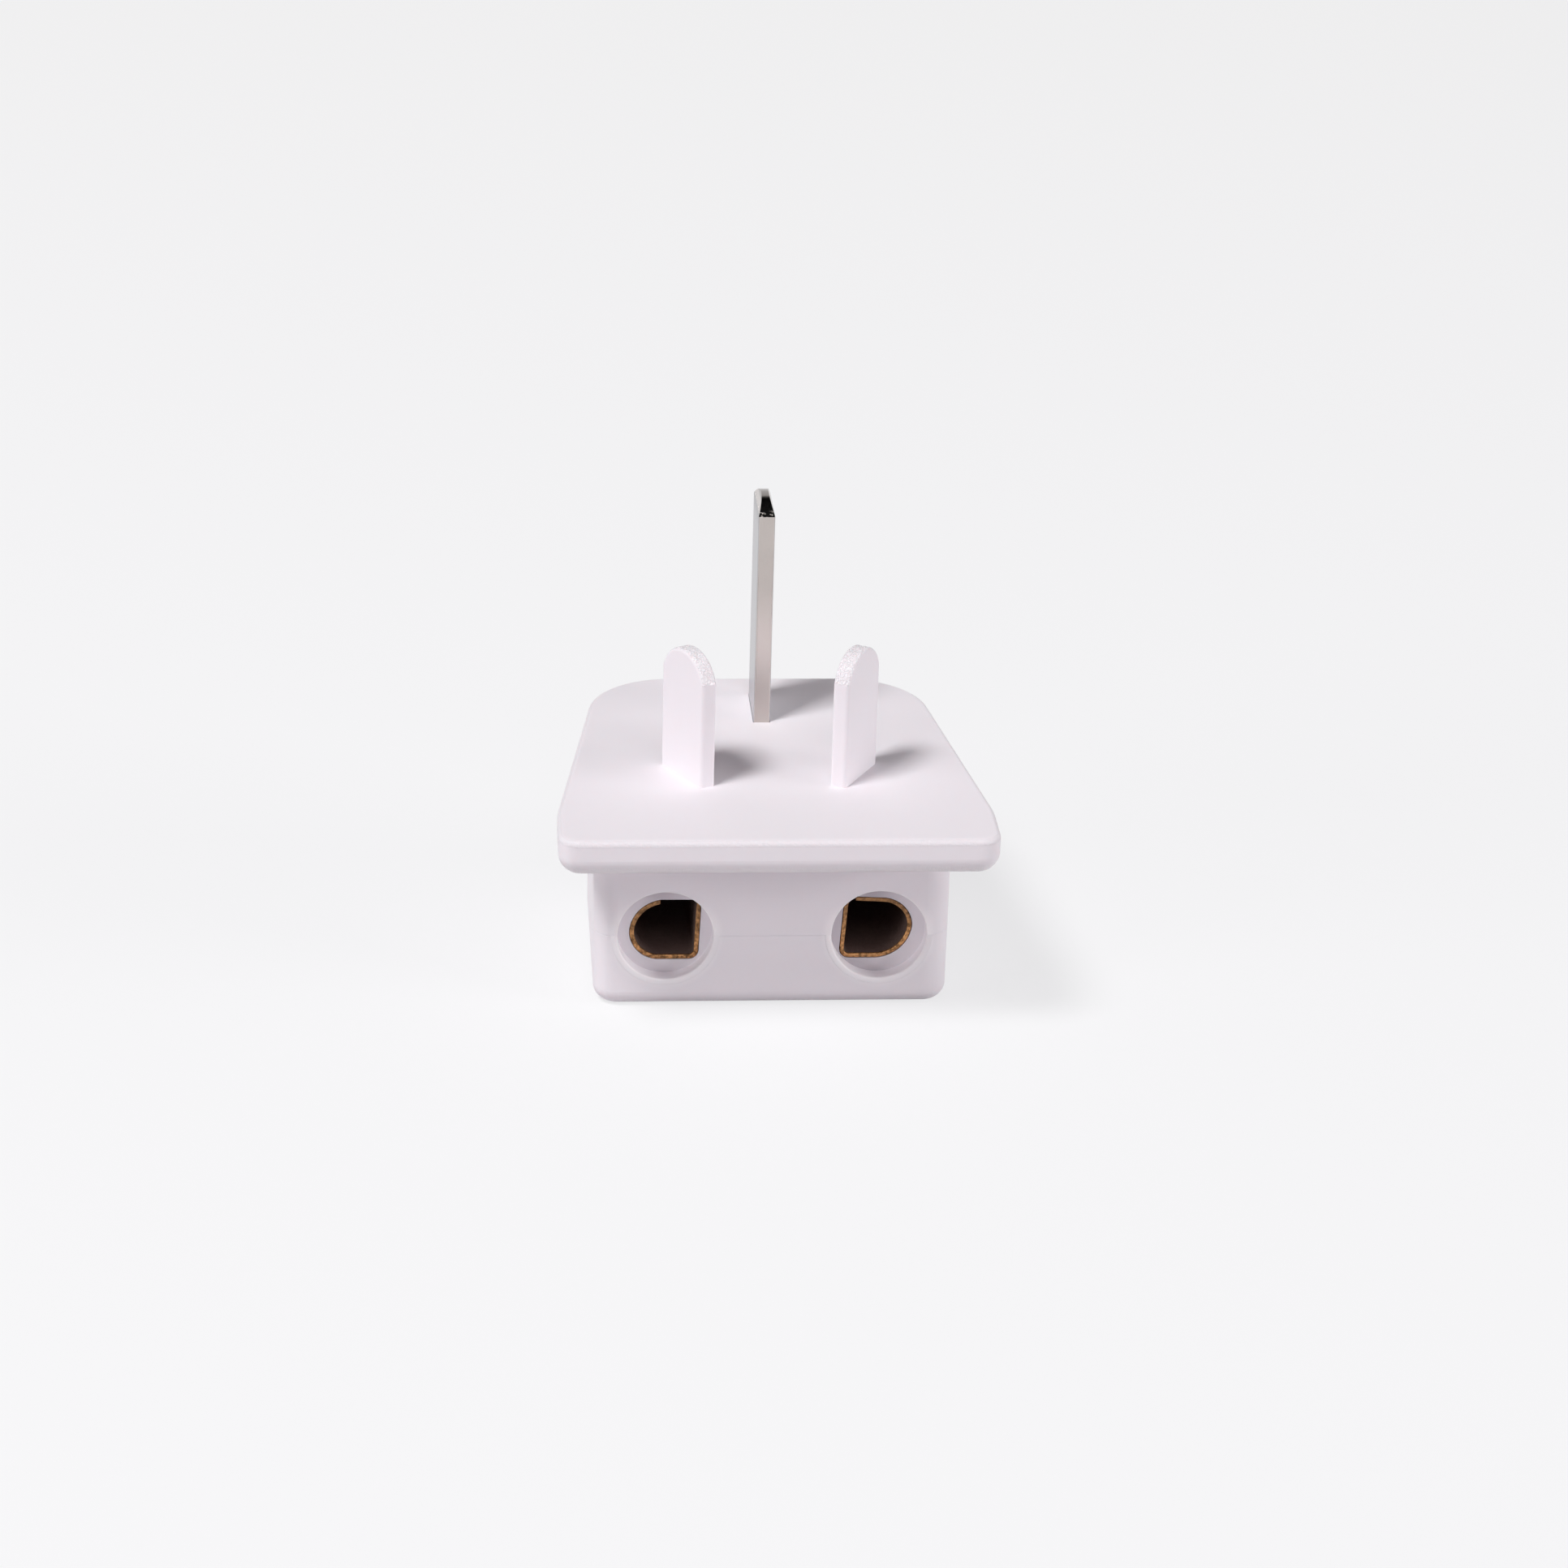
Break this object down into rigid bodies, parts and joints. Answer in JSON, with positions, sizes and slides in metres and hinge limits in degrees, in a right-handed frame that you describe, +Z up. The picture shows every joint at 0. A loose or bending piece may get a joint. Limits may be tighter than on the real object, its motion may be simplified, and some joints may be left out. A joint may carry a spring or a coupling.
{
  "type": "grounding plug adapter",
  "caption": "White moulded earthing adapter with a flat metal earth pin, slanted plastic dummy prongs and round front sockets lined with brass.",
  "frame": {"origin": "on the surface the adapter stands on, under the centre of its pin pattern", "axes": "+Z up along the pins, -Y towards the sockets, +X to the right seen from the sockets"},
  "size_m": [0.0356, 0.0348, 0.0378],
  "materials": {
    "white_plastic": "satin moulded",
    "nickel": "matt nickel plate",
    "brass": "rolled sheet"
  },
  "bodies": {
    "root": {"face_shell": "white_plastic", "base_shell": "white_plastic", "earth_pin": "nickel", "bonding_strip": "brass", "left_contact_sleeve": "brass", "right_contact_sleeve": "brass", "left_rivet": "brass", "right_rivet": "brass"}
  },
  "joints": []
}
